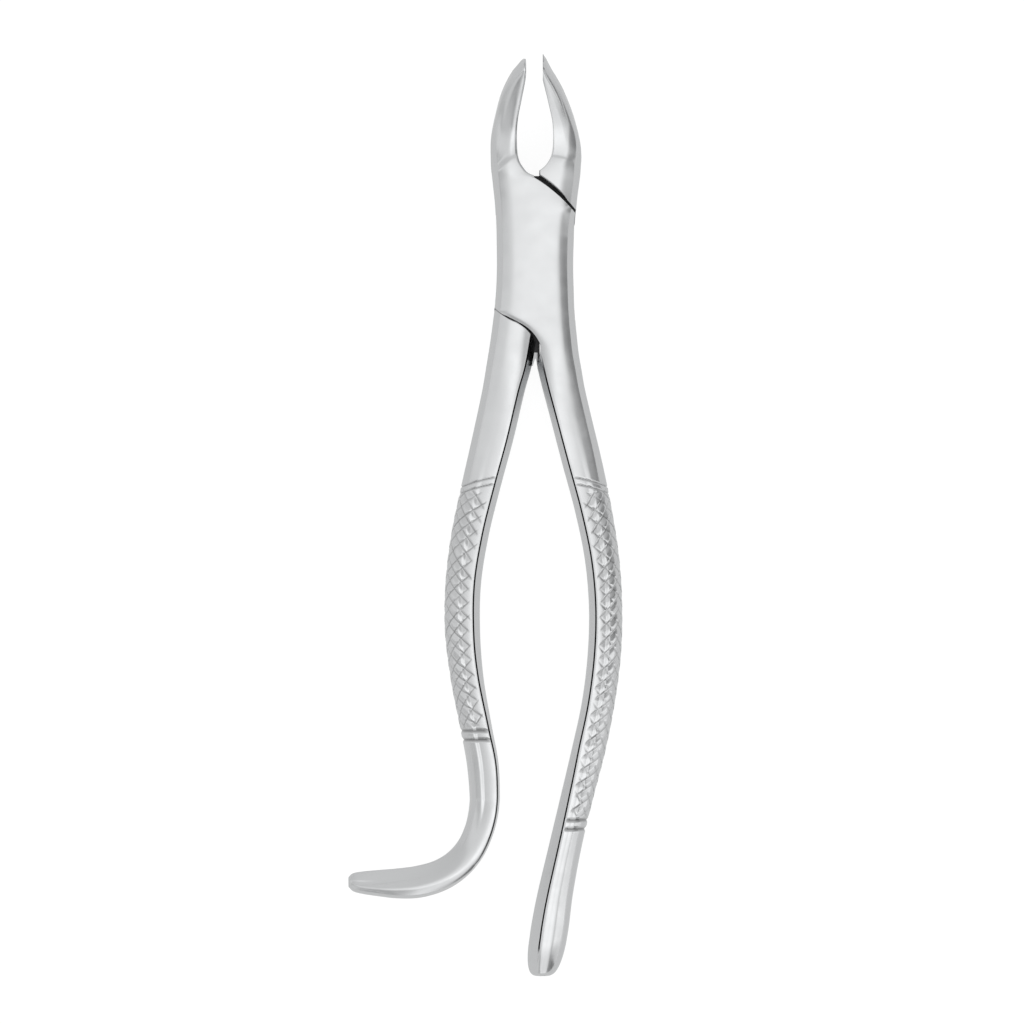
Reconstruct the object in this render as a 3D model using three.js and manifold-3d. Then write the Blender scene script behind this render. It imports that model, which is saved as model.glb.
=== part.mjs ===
// Tooth extraction forceps, American pattern with a box joint, for upper molars.
// The box half carries the round beak and the straight handle. The hook half passes through the box: it carries
// the pointed beak and the handle that ends in a finger hook. A rivet, ground flush at both ends, is the pivot.
// Millimetres. The forceps lie on their back: +Y runs to the beak tips, +Z up through the front face, and the
// origin is where the pivot axis meets the back face. The hook is on the -X side.
import * as THREE from "three";
import { mergeVertices } from "three/addons/utils/BufferGeometryUtils.js";
import Module from "manifold-3d";

const wasm = await Module();
wasm.setup();

// ---------- Driving dimensions ----------

// Joint, seen from the side: front plate, slot with the tongue in it, back plate.
const PLATE = 2.8; // thickness of each plate of the box
const TONGUE = 3.0; // thickness of the hook half inside the box
const SIDE_PLAY = 0.1; // gap between the tongue and each plate
const JOINT_DEPTH = 2 * PLATE + TONGUE + 2 * SIDE_PLAY;
const MID = JOINT_DEPTH / 2; // height of the plane that both handles are centred on

// Pivot.
const RIVET_RADIUS = 2.5;
const RIVET_SEAT_PLAY = 0.03; // radial gap in the plates, which hold the rivet
const RIVET_RUNNING_PLAY = 0.07; // radial gap in the tongue, which turns on it

// Motion. The forceps are drawn a little open; the shoulders stop them when they close.
const OPEN_AT_REST = 2.8; // degrees
const SHOULDER_GAP = 0.1; // left between the shoulders when closed

// Box joint, seen from the front.
const SLOT_RADIUS = 12.7; // the round end walls of the slot
const TURNING_PLAY = 0.25; // radial gap between those walls and the round edge of the tongue
const TONGUE_RADIUS = SLOT_RADIUS - TURNING_PLAY;
const SHOULDER_RADIUS = 11; // the stretch of the plates' lower edge that is an arc round the pivot
const NECK_REACH = 0.9; // how far the tongue's necks reach past the centre line
const NECK_SWING = 1.05; // room for the necks to swing towards the slot's end walls
const WALL_SETBACK = NECK_REACH + NECK_SWING;
const BEAK_FORK = 17.4; // the fork between the beaks
const HANDLE_FORK = -17.6; // the fork between the handles

// Beaks, seen from the side: straight, then bent forwards on an arc.
const BEND_START = 21.6;
const BEND_RADIUS = 25;
const ROUND_TIP_Y = 39.6;
const POINTED_TIP_Y = 40.0;
const POINT_ANGLE = 105; // degrees, across the pointed tip

// Sections. The flank is the sloping side face, and the roll-off is where a face curves down to meet it.
const FACE_ROLL_OFF = 0.3;
const SIDE_LAND = TONGUE / 2; // half the height of the upright strip between the two flanks

// Turned grooves at the ends of each grip pattern, each a pair with a bead between them.
const GROOVE_DEPTH = 0.35;
const GROOVE_WIDTH = 1.0;
const GROOVE_PITCH = 1.5;
const GRIP_TOP = -41.7;
const HOOK_GRIP_END = -90.1;
const STRAIGHT_GRIP_END = -107.3;

const STEP = 3.2; // spacing of the sections along a limb
const CUTTER = 60; // reach of a cutting block past the part

const STEEL = 0xc9cbcd;

// ---------- Curves ----------

const radians = THREE.MathUtils.degToRad;
const { clamp, lerp, smoothstep } = THREE.MathUtils;

// A smooth function through rows of [position, value, value, ...], rising in position. It gives the values there.
function track(rows) {
  const slope = (i, c) => {
    const before = rows[Math.max(i - 1, 0)];
    const after = rows[Math.min(i + 1, rows.length - 1)];
    return (after[c] - before[c]) / (after[0] - before[0]);
  };
  return (at) => {
    const p = clamp(at, rows[0][0], rows[rows.length - 1][0]);
    let i = rows.findIndex((row) => row[0] >= p);
    i = Math.max(i - 1, 0);
    const [a, b] = [rows[i], rows[i + 1]];
    const span = b[0] - a[0];
    const t = (p - a[0]) / span;
    const [t2, t3] = [t * t, t * t * t];
    return a.slice(1).map((value, k) => {
      const c = k + 1;
      return (
        value * (2 * t3 - 3 * t2 + 1) +
        b[c] * (3 * t2 - 2 * t3) +
        slope(i, c) * span * (t3 - 2 * t2 + t) +
        slope(i + 1, c) * span * (t3 - t2)
      );
    });
  };
}

// Evenly spaced positions from first to last, both included.
function evenly(first, last, step) {
  const count = Math.max(1, Math.ceil(Math.abs(last - first) / step));
  return Array.from({ length: count + 1 }, (_, i) => lerp(first, last, i / count));
}

// ---------- Sections ----------

// The outline of a limb's section as [across, deep] points, anticlockwise. Across is positive on the outer side.
// half: half width. depth: half depth. flankOut and flankIn: widths of the sloping faces. landIn: half height
// of the upright strip on the inner side. roundOut and roundIn: from 0, flat faces and flanks, to 1, an ellipse.
function section({ half, depth, flankOut, flankIn, landOut, landIn, roundOut, roundIn }) {
  const roll = Math.min(FACE_ROLL_OFF, depth / 4);
  const outer = half - flankOut;
  const inner = -half + flankIn;
  const face = depth - roll;
  const quarter = [
    [outer * 0.55, depth],
    [outer, face],
    [half - flankOut * 0.4, lerp(face, landOut, 0.6)],
    [half, landOut],
  ];
  const innerQuarter = [
    [-half, landIn],
    [-half + flankIn * 0.4, lerp(face, landIn, 0.6)],
    [inner, face],
    [inner * 0.55, depth],
  ];
  const mirrored = (points) => points.map(([a, d]) => [a, -d]).reverse();
  const outline = [
    ...innerQuarter,
    ...quarter,
    [half, 0],
    ...mirrored(quarter),
    ...mirrored(innerQuarter),
    [-half, 0],
  ];
  return outline.map(([a, d]) => {
    const turn = Math.atan2(d / depth, a / half);
    const share = a > 0 ? roundOut : roundIn;
    return [lerp(a, half * Math.cos(turn), share), lerp(d, depth * Math.sin(turn), share)];
  });
}

// A closed solid through a list of rings, each a list of Vector3 with the same number of points.
function loft(rings) {
  const size = rings[0].length;
  const vertices = rings.flat();
  const faces = [];
  for (let r = 0; r + 1 < rings.length; r++) {
    for (let i = 0; i < size; i++) {
      const next = (i + 1) % size;
      const [a, b] = [r * size + i, r * size + next];
      faces.push([a, b, b + size], [a, b + size, a + size]);
    }
  }
  for (const [ring, first] of [[rings[0], 0], [rings[rings.length - 1], (rings.length - 1) * size]]) {
    const centre = new THREE.Vector3();
    ring.forEach((point) => centre.addScaledVector(point, 1 / size));
    vertices.push(centre);
    for (let i = 0; i < size; i++) {
      const edge = [first + i, first + ((i + 1) % size)];
      faces.push(first === 0 ? [vertices.length - 1, edge[1], edge[0]] : [vertices.length - 1, ...edge]);
    }
  }
  return solidFrom(vertices.flatMap((v) => v.toArray()), faces.flat());
}

// ---------- Solids ----------

function solidFrom(positions, triangles) {
  const make = (triVerts) =>
    new wasm.Manifold(
      new wasm.Mesh({
        numProp: 3,
        vertProperties: new Float32Array(positions),
        triVerts: new Uint32Array(triVerts),
      }),
    );
  const made = make(triangles);
  if (made.volume() > 0) return made;
  const turned = [];
  for (let i = 0; i < triangles.length; i += 3) {
    turned.push(triangles[i], triangles[i + 2], triangles[i + 1]);
  }
  return make(turned);
}

function solidOf(geometry) {
  const bare = geometry.clone();
  bare.deleteAttribute("normal");
  bare.deleteAttribute("uv");
  const merged = mergeVertices(bare, 1e-4);
  return solidFrom(Array.from(merged.attributes.position.array), Array.from(merged.index.array));
}

// A straight-sided block over an outline of [x, y] points, from one height to another.
function prism(outline, low, high) {
  const shape = new THREE.Shape(outline.map(([x, y]) => new THREE.Vector2(x, y)));
  const geometry = new THREE.ExtrudeGeometry(shape, { depth: high - low, bevelEnabled: false });
  return solidOf(geometry.translate(0, 0, low));
}

function box(x0, x1, y0, y1, low, high) {
  return prism([[x0, y0], [x1, y0], [x1, y1], [x0, y1]], low, high);
}

function disc(radius, low, high, sides) {
  const geometry = new THREE.CylinderGeometry(radius, radius, high - low, sides);
  return solidOf(geometry.rotateX(Math.PI / 2).translate(0, 0, (low + high) / 2));
}

function meshOf(name, solid) {
  const { numProp, numVert, vertProperties, triVerts } = solid.getMesh();
  const positions = new Float32Array(numVert * 3);
  for (let i = 0; i < numVert; i++) {
    positions.set(vertProperties.subarray(i * numProp, i * numProp + 3), i * 3);
  }
  const geometry = new THREE.BufferGeometry();
  geometry.setAttribute("position", new THREE.BufferAttribute(positions, 3));
  geometry.setIndex(new THREE.BufferAttribute(triVerts, 1));
  geometry.computeVertexNormals();
  const material = new THREE.MeshStandardMaterial({ color: STEEL, roughness: 0.28, metalness: 1 });
  const mesh = new THREE.Mesh(geometry, material);
  mesh.name = name;
  return mesh;
}

// ---------- Limbs: beaks and handles ----------
// Each row is [y, outer edge x, inner edge x]. Edges are those of the middle plane, where a limb is widest.

const JOINT_EDGES = track([
  [-20, -9.6, 8.9],
  [-15.8, -8.9, 8.35],
  [-11.2, -8.15, 7.9],
  [-4.2, -7.55, 7.5],
  [0.4, -7.4, 7.4],
  [5, -7.45, 7.5],
  [9.7, -7.55, 7.7],
  [14.3, -7.95, 8.25],
  [18, -8.35, 8.7],
]);

const STRAIGHT_HANDLE_EDGES = track([
  [-131.6, 5.8, -1.35],
  [-127, 6.55, -0.75],
  [-121, 7.3, 0.4],
  [-111.7, 9, 2.6],
  [-102.5, 11.2, 4.8],
  [-93.2, 13.6, 7],
  [-84, 15.4, 9],
  [-74.7, 16.6, 10.15],
  [-65.4, 16.85, 10.4],
  [-56.2, 16.3, 9.6],
  [-46.9, 14.9, 7.7],
  [-37.6, 13, 5.2],
  [-28.4, 10.8, 2.8],
  [-20, 8.95, 0.65],
  [-14.5, 8.2, -0.6],
  [-8, 7.65, -1.5],
]);

const HOOK_HANDLE_EDGES = track([
  [-102.5, -12.6, -6.75],
  [-95.5, -13.3, -7.1],
  [-88.6, -14.5, -8.3],
  [-79.3, -16.3, -9.9],
  [-70.1, -17.4, -10.6],
  [-60.8, -17.3, -10.4],
  [-51.5, -16.2, -8.9],
  [-42.3, -14.3, -6.65],
  [-33, -12.2, -4.15],
  [-23.7, -10.2, -1.95],
  [-19, -9.4, -0.65],
  [-14, -8.6, 0.25],
  [-8, -7.8, 1.2],
]);

const ROUND_BEAK_EDGES = track([
  [8, -7.55, 4],
  [13, -7.85, 2.6],
  [16, -8.15, 0.9],
  [17.4, -8.3, -0.25],
  [18.9, -8.45, -1.95],
  [20.9, -8.55, -3.1],
  [24.9, -8.5, -3.5],
  [29.5, -7.6, -3.25],
  [33.6, -6.4, -2.5],
  [37, -4.85, -1.85],
  [39.7, -3, -1.65],
]);

const POINTED_BEAK_EDGES = track([
  [6, 7.5, -3.6],
  [13, 8.1, -3],
  [16.5, 8.55, -1.7],
  [18.1, 8.75, 0],
  [19.7, 8.85, 1.95],
  [21.6, 8.95, 3.1],
  [24.2, 8.7, 3.5],
  [29, 7.75, 3.3],
  [33.6, 6.35, 2.4],
  [36.7, 4.9, 1.55],
  [39, 3.4, 1.15],
  [40.6, 1.9, 1],
]);

// [y, half depth, width of the outer flank, width of the inner flank, roundness of the outer side]
const HANDLE_FORM = track([
  [-140, 3.9, 1.5, 1.5, 0.6],
  [-128, 4.15, 1.5, 1.5, 0.75],
  [-112, 3.95, 1.6, 1.4, 0.85],
  [-90, 4.2, 1.8, 1.3, 1],
  [-65, 4.4, 2.0, 1.3, 1],
  [-45, 4.2, 1.8, 1.25, 0.9],
  [-38, 4.1, 1.4, 1.25, 0.1],
  [-28, 4.2, 1.2, 1.2, 0],
  [-14, MID, 1.2, 1.15, 0],
  [20, MID, 1.2, 1.15, 0],
]);

// [y, half depth, outer flank, inner flank, half height of the inner land as a share of the half depth, outer roundness]
const BEAK_FORM = track([
  [6, MID, 1.2, 1.1, 0.34, 0],
  [17, MID, 1.25, 1.1, 0.34, 0],
  [21, 4.25, 1.35, 1.1, 0.36, 0],
  [25, 3.8, 1.4, 1.0, 0.4, 0.1],
  [28.5, 3.2, 1.3, 0.9, 0.5, 0.25],
  [33, 2.35, 1.1, 0.6, 0.62, 0.4],
  [36.5, 2.1, 0.9, 0.35, 0.75, 0.5],
  [40.5, 2.1, 0.6, 0.25, 0.8, 0.6],
]);

// How deep the turned grooves are at y, for a pair at each end of a grip.
function grooveDip(y, gripEnd) {
  const centres = [GRIP_TOP, gripEnd].flatMap((c) => [c - GROOVE_PITCH / 2, c + GROOVE_PITCH / 2]);
  const nearest = Math.min(...centres.map((c) => Math.abs(y - c)));
  return GROOVE_DEPTH * clamp(1 - nearest / (GROOVE_WIDTH / 2), 0, 1);
}

// Positions for a handle's sections: even steps, and enough of them at each groove to show it.
function handleStations(first, last, gripEnd) {
  const grooved = [GRIP_TOP, gripEnd].flatMap((c) => [
    c - GROOVE_PITCH / 2 - GROOVE_WIDTH / 2,
    c - GROOVE_PITCH / 2,
    c,
    c + GROOVE_PITCH / 2,
    c + GROOVE_PITCH / 2 + GROOVE_WIDTH / 2,
  ]);
  const clear = evenly(first, last, STEP).filter((y) => grooved.every((g) => Math.abs(g - y) > STEP / 3));
  return [...clear, ...grooved].sort((a, b) => b - a);
}

// A ring of a handle at height y, square to the Y axis.
function handleRing(edges, y, gripEnd, shrink = 1) {
  const [outer, inner] = edges(y);
  const [depth, flankOut, flankIn, roundOut] = HANDLE_FORM(y);
  const dip = grooveDip(y, gripEnd);
  const side = Math.sign(outer - inner);
  const half = (Math.abs(outer - inner) - dip) / 2;
  const centre = (outer + inner) / 2 - (side * dip) / 2;
  const outline = section({
    half: half * shrink,
    depth: (depth - dip * 0.6) * shrink,
    flankOut: Math.min(flankOut, half * 0.9) * shrink,
    flankIn: Math.min(flankIn, half * 0.9) * shrink,
    landOut: SIDE_LAND * shrink,
    landIn: SIDE_LAND * shrink,
    roundOut,
    roundIn: 0,
  });
  return outline.map(([a, d]) => new THREE.Vector3(centre + side * a, y, MID + d));
}

// Rings that close a limb with a rounded end: a quarter of an ellipse, the last of them small.
function endCap(steps, reach, ringAt) {
  return evenly(0, 88, 88 / steps)
    .slice(1)
    .map((angle) => ringAt(Math.sin(radians(angle)) * reach, Math.cos(radians(angle))));
}

function straightHandle() {
  const last = -129.3;
  const reach = 7.35;
  const rings = handleStations(-8, last, STRAIGHT_GRIP_END).map((y) =>
    handleRing(STRAIGHT_HANDLE_EDGES, y, STRAIGHT_GRIP_END),
  );
  const [outer, inner] = STRAIGHT_HANDLE_EDGES(last);
  const [depth, flankOut, flankIn, roundOut] = HANDLE_FORM(last);
  const cap = endCap(7, reach, (along, share) => {
    const centre = (outer + inner) / 2 - 0.165 * along;
    const blunt = Math.sqrt(share);
    const half = ((outer - inner) / 2) * blunt;
    const outline = section({
      half,
      depth: depth * blunt,
      flankOut: Math.min(flankOut, half * 0.9),
      flankIn: Math.min(flankIn, half * 0.9),
      landOut: SIDE_LAND * blunt,
      landIn: SIDE_LAND * blunt,
      roundOut: lerp(1, roundOut, share),
      roundIn: 1 - share,
    });
    return outline.map(([a, d]) => new THREE.Vector3(centre + a, last - along, MID + d));
  });
  return loft([...rings, ...cap]);
}

// The finger hook. Each row is [place along it, x, y, width, half depth, outer flank, inner flank, roundness of
// the outer side]. The side where the little finger lies has a wide flank with a crisp edge.
const HOOK_PATH = track([
  [0, -9.68, -102.5, 5.85, 3.85, 1.75, 1.2, 0.75],
  [1, -10.05, -105.6, 5.75, 3.7, 1.75, 1.3, 0.5],
  [2, -10.9, -108.8, 5.65, 3.6, 1.8, 1.4, 0.2],
  [3, -12.5, -112.2, 5.7, 3.5, 1.9, 1.5, 0.05],
  [4, -15, -115.1, 5.85, 3.4, 2, 1.6, 0],
  [5, -18.3, -117.2, 6.05, 3.3, 2.1, 1.6, 0],
  [6, -22.3, -118.4, 6.15, 3.15, 2.2, 1.5, 0],
  [7, -26.2, -118.75, 5.8, 2.95, 2.2, 1.4, 0.1],
  [8, -30, -118.7, 5.1, 2.65, 2, 1.3, 0.3],
  [9, -33.4, -118.6, 4.3, 2.2, 1.7, 1.2, 0.6],
  [9.6, -35.2, -118.5, 3.4, 1.7, 1.3, 0.9, 0.85],
  [9.9, -36, -118.5, 1.9, 0.9, 0.7, 0.5, 1],
]);

function hookRing(k) {
  const [x, y, width, depth, flankOut, flankIn, round] = HOOK_PATH(k);
  const [ahead, behind] = [HOOK_PATH(k + 0.05), HOOK_PATH(k - 0.05)];
  const along = new THREE.Vector2(ahead[0] - behind[0], ahead[1] - behind[1]).normalize();
  const outward = k === 0 ? new THREE.Vector2(-1, 0) : new THREE.Vector2(along.y, -along.x);
  const half = width / 2;
  const land = Math.min(SIDE_LAND, depth * 0.4);
  const outline = section({
    half,
    depth,
    flankOut: Math.min(flankOut, half * 0.9),
    flankIn: Math.min(flankIn, half * 0.9),
    landOut: land,
    landIn: land,
    roundOut: round,
    roundIn: lerp(round, 1, 0.5),
  });
  return outline.map(([a, d]) => new THREE.Vector3(x + outward.x * a, y + outward.y * a, MID + d));
}

function hookHandle() {
  const rings = handleStations(-8, -100, HOOK_GRIP_END).map((y) =>
    handleRing(HOOK_HANDLE_EDGES, y, HOOK_GRIP_END),
  );
  return loft([...rings, ...evenly(0, 9.9, 0.55).map(hookRing)]);
}

// The middle line of a beak at plan position y: its height and how far it leans forwards there.
function beakLine(y) {
  const lean = Math.asin(clamp((y - BEND_START) / BEND_RADIUS, 0, 0.95));
  return { lean, z: MID + BEND_RADIUS * (1 - Math.cos(lean)) };
}

// Places a section point [across from the centre line, deep] of a beak, square to its middle line.
function beakPoint(y, x, deep) {
  const { lean, z } = beakLine(y);
  return new THREE.Vector3(x, y - deep * Math.sin(lean), z + deep * Math.cos(lean));
}

function beakRing(edges, y, depthShare = 1, widthShare = 1) {
  const [outer, inner] = edges(y);
  const [depth, flankOut, flankIn, landShare, roundOut] = BEAK_FORM(y);
  const side = Math.sign(outer - inner);
  const half = (Math.abs(outer - inner) / 2) * widthShare;
  const centre = inner + side * half;
  const outline = section({
    half,
    depth: depth * depthShare,
    flankOut: Math.min(flankOut, half * 0.9),
    flankIn: Math.min(flankIn, half * 0.5),
    landOut: Math.min(SIDE_LAND, depth * 0.45) * depthShare,
    landIn: depth * landShare * depthShare,
    roundOut,
    roundIn: 0,
  });
  return outline.map(([a, d]) => beakPoint(y, centre + side * a, d));
}

// share(distance from the tip) gives how much of the full depth is left there.
function beak(edges, first, tip, share) {
  const shaped = 2.1; // the stretch over which the tip narrows, seen from the side
  const body = evenly(first, tip - shaped, 2.2);
  const end = evenly(shaped, 0.03, 0.35).slice(1).map((gap) => tip - gap);
  const rings = [...body, ...end].map((y) => beakRing(edges, y, share(tip - y)));
  return loft(rings);
}

// Seen from the side, one tip is half round and the other comes to a point.
function roundShare(gap) {
  const radius = 1.45; // along Y, where the tip leans
  return gap > radius ? 1 : Math.max(0.1, Math.sqrt(1 - (1 - gap / radius) ** 2));
}

function pointShare(gap) {
  const { lean } = beakLine(POINTED_TIP_Y);
  const length = (2.1 / Math.tan(radians(POINT_ANGLE / 2))) * Math.cos(lean);
  return clamp(gap / length, 0.06, 1);
}

// The spoon-shaped hollow in the gripping face of a beak, as a cutter that ends in a taper.
function beakHollow(edges, tip, length, wide, deep) {
  const rings = evenly(tip + 1.2, tip - length, 0.8).map((y) => {
    const side = Math.sign(edges(y)[0] - edges(y)[1]);
    const inner = edges(Math.min(y, tip))[1];
    const share = Math.sqrt(clamp((y - (tip - length)) / 3.5, 0.004, 1));
    return Array.from({ length: 14 }, (_, i) => {
      const turn = (i / 14) * 2 * Math.PI;
      return beakPoint(y, inner + side * deep * share * Math.cos(turn), wide * share * Math.sin(turn));
    });
  });
  return loft(rings);
}

// The narrow notch that splits the pointed tip's hollow.
function tipNotch(edges, tip, length, wide, deep) {
  const rings = evenly(tip + 1.2, tip - length, 1.3).map((y) => {
    const side = Math.sign(edges(y)[0] - edges(y)[1]);
    const inner = edges(Math.min(y, tip))[1];
    const share = clamp((y - (tip - length)) / length, 0.02, 1);
    return [
      [-0.5, wide],
      [deep, 0],
      [-0.5, -wide],
    ].map(([a, d]) => beakPoint(y, inner + side * (a < 0 ? a : a * share), d * share));
  });
  return loft(rings);
}

// ---------- Box joint ----------

// The middle of the joint as one block, from fork to fork. Both halves are cut out of copies of it.
function jointBlock() {
  const rings = evenly(-15.4, BEAK_FORK, STEP).map((y) => {
    const [left, right] = JOINT_EDGES(y);
    const outline = section({
      half: (right - left) / 2,
      depth: MID,
      flankOut: 1.2,
      flankIn: 1.2,
      landOut: SIDE_LAND,
      landIn: SIDE_LAND,
      roundOut: 0,
      roundIn: 0,
    });
    return outline.map(([a, d]) => new THREE.Vector3((left + right) / 2 + a, y, MID + d));
  });
  return loft(rings);
}

const flat = (points) => points.map((p) => [p.x, p.y]);

// The plates' upper right edge, from beyond the side of the joint to the fork between the beaks.
function upperEdge() {
  const curve = new THREE.QuadraticBezierCurve(
    new THREE.Vector2(9.6, 8.35),
    new THREE.Vector2(4.9, 14.4),
    new THREE.Vector2(-0.2, BEAK_FORK),
  );
  return flat(curve.getPoints(8));
}

// The plates' lower left edge: an arc round the pivot, a bend, and a straight stretch into the handles' fork.
function lowerEdge() {
  const arc = new THREE.EllipseCurve(0, 0, SHOULDER_RADIUS, SHOULDER_RADIUS, radians(208), radians(254));
  const arcPoints = flat(arc.getPoints(8));
  const [x, y] = arcPoints[arcPoints.length - 1];
  const bend = new THREE.QuadraticBezierCurve(
    new THREE.Vector2(x, y),
    new THREE.Vector2(-0.9, -11.7),
    new THREE.Vector2(0.25, -15),
  );
  return [...arcPoints, ...flat(bend.getPoints(6)).slice(1), [0.3, -21.5]];
}

// The shoulder that meets an edge when the forceps close, where it is at rest: moved out by the gap, turned open.
function shoulder(edge) {
  const turn = -radians(OPEN_AT_REST);
  return edge.map(([x, y], i) => {
    const [x0, y0] = edge[Math.max(i - 1, 0)];
    const [x1, y1] = edge[Math.min(i + 1, edge.length - 1)];
    const length = Math.hypot(x1 - x0, y1 - y0);
    const away = [((y1 - y0) / length) * SHOULDER_GAP, (-(x1 - x0) / length) * SHOULDER_GAP];
    const [px, py] = [x + away[0], y + away[1]];
    return [px * Math.cos(turn) - py * Math.sin(turn), px * Math.sin(turn) + py * Math.cos(turn)];
  });
}

// The space beyond an upper edge, and beyond a lower edge, over the whole depth of the part.
function beyondUpper(edge) {
  const [x] = edge[edge.length - 1];
  const [low, high] = [-CUTTER, CUTTER];
  return prism([...edge, [x, CUTTER], [CUTTER, CUTTER], [CUTTER, edge[0][1]]], low, high);
}

function beyondLower(edge, reach) {
  const [x] = edge[edge.length - 1];
  return prism([...edge, [x, -reach], [-CUTTER, -reach], [-CUTTER, edge[0][1]]], -CUTTER, CUTTER);
}

// A flat layer made of a disc round the pivot and two necks, one up to the beaks and one down to the handles.
function throughLayer(radius, neck, top, bottom, low, high) {
  return disc(radius, low, high, 64)
    .add(box(-neck, CUTTER, 0, top, low, high))
    .add(box(-CUTTER, neck, bottom, 0, low, high));
}

function boxHalf() {
  const slot = throughLayer(SLOT_RADIUS, WALL_SETBACK, BEAK_FORK + 0.9, HANDLE_FORK - 1.6, PLATE, JOINT_DEPTH - PLATE);
  const seat = disc(RIVET_RADIUS + RIVET_SEAT_PLAY, -1, JOINT_DEPTH + 1, 48);
  const hollow = beakHollow(ROUND_BEAK_EDGES, ROUND_TIP_Y, 5.6, 1.55, 0.75);
  return jointBlock()
    .add(straightHandle())
    .subtract(beyondLower(lowerEdge(), CUTTER))
    .add(beak(ROUND_BEAK_EDGES, 8, ROUND_TIP_Y, roundShare).subtract(hollow))
    .subtract(beyondUpper(upperEdge()))
    .subtract(slot)
    .subtract(seat);
}

function hookHalf() {
  const low = PLATE + SIDE_PLAY;
  const high = low + TONGUE;
  const layer = throughLayer(TONGUE_RADIUS, NECK_REACH, BEAK_FORK + 0.3, HANDLE_FORK, low, high);
  const pointed = beak(POINTED_BEAK_EDGES, 6, POINTED_TIP_Y, pointShare)
    .subtract(beakHollow(POINTED_BEAK_EDGES, POINTED_TIP_Y, 8.4, 1.6, 0.8))
    .subtract(tipNotch(POINTED_BEAK_EDGES, POINTED_TIP_Y, 3.4, 0.42, 1.15));
  const handle = hookHandle();
  const tongue = jointBlock().add(pointed).add(handle).intersect(layer);
  const bore = disc(RIVET_RADIUS + RIVET_RUNNING_PLAY, -1, JOINT_DEPTH + 1, 48);
  return pointed
    .intersect(beyondUpper(shoulder(upperEdge())))
    .add(handle.intersect(beyondLower(shoulder(lowerEdge()), 3 * CUTTER)))
    .add(tongue)
    .subtract(bore);
}

const forceps = new THREE.Group();
forceps.add(meshOf("box_half", boxHalf()));
forceps.add(meshOf("hook_half", hookHalf()));
forceps.add(meshOf("joint_rivet", disc(RIVET_RADIUS, 0, JOINT_DEPTH, 48)));

export default forceps;
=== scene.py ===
"""Dental extraction forceps: two satin steel halves with cross-cut grips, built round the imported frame.

Lengths in the tables are millimetres. MM turns them into Blender's metres where a mesh is made.
"""

import math

import bpy
import numpy as np
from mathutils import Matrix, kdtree


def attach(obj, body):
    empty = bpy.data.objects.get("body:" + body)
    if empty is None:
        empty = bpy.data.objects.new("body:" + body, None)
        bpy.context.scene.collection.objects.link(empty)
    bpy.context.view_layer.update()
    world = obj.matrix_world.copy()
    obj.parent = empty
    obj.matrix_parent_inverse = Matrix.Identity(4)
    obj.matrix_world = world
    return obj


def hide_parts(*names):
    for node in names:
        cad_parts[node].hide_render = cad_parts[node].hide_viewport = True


MM = 0.001

# ---------- Sizes shared with the solid model ----------

PLATE = 2.8
TONGUE = 3.0
SIDE_PLAY = 0.1
JOINT_DEPTH = 2 * PLATE + TONGUE + 2 * SIDE_PLAY
MID = JOINT_DEPTH / 2
RIVET_RADIUS = 2.5
OPEN_AT_REST = 2.8
SHOULDER_GAP = 0.1
SLOT_RADIUS = 12.7
TURNING_PLAY = 0.25
TONGUE_RADIUS = SLOT_RADIUS - TURNING_PLAY
SHOULDER_RADIUS = 11.0
NECK_REACH = 0.9
NECK_SWING = 1.05
WALL_SETBACK = NECK_REACH + NECK_SWING
BEAK_FORK = 17.4
HANDLE_FORK = -17.6
ROUND_TIP_Y = 39.6
POINTED_TIP_Y = 40.0
SIDE_LAND = TONGUE / 2
GRIP_TOP = -41.7
HOOK_GRIP_END = -90.1
STRAIGHT_GRIP_END = -107.3

# ---------- Finish ----------

SHOULDER_WIDTH = 2.6  # how far in from its edge a face starts to roll down
EDGE_EASE = 0.34  # how far a softened edge reaches into each of its faces
TOP_RING = (0.25, 0.2, 1.3)  # half width, depth and spacing of the pair of rings above a grip
LOW_RING = (0.46, 0.3, 1.75)  # and of the pair below it
RING_RISE = 0.14  # how much the upper rings climb towards the inner side
CUT_PITCH = 2.75  # spacing of the grip's cuts along a handle
CUT_SLANT = 0.95  # how far a cut climbs along the handle for each millimetre round it
LEAF_CUT = (0.2, 0.2, 1.0)  # depth, slope of the gentle side and slope of the steep side of the main cuts
FINE_CUT = (0.13, 0.6, 0.6)  # and of the cuts that cross them
SEAM_DEPTH = 0.3  # of the fine groove between a handle's face and its inner flank
RINGS_ABOVE_GRIP = 0.7  # distance from the top of a grip up to the middle of the upper pair of rings
RING_CURL = 0.025  # how much steeper the upper rings climb further from the inner side
RING_START = 0.15  # where the rings start, from the inner flank
RING_RUN_IN = 0.9  # length over which they reach their full depth
RING_DARKNESS = 2.4  # painted shade in the rings, for each millimetre of their depth
GRIP_MARGINS = (1.4, 1.6)  # how far the cuts stay from the upper and from the lower end of a grip
GRIP_FADE = 0.7  # length over which they reach their full depth there
PLAIN_STRIP = 0.6  # width left uncut beside the inner flank
CUT_RUN_OUT = 1.6  # length over which a cut runs out towards that strip
CUT_LINE = 0.19  # half width of the painted shade line along a cut
CUT_DARKNESS = 0.8  # strength of the painted shade along that line
# The painted shade in the straight handle's cuts fades downwards: from which y, over what length, how much
# less dark.
FADING_CUT_SHADE = (-60, 35, 0.4)
LEAST_LAND = 0.3  # half height of the narrowest inner land
FLANK_FALL = 1.95  # how far an inner flank falls for each millimetre of its width

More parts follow.
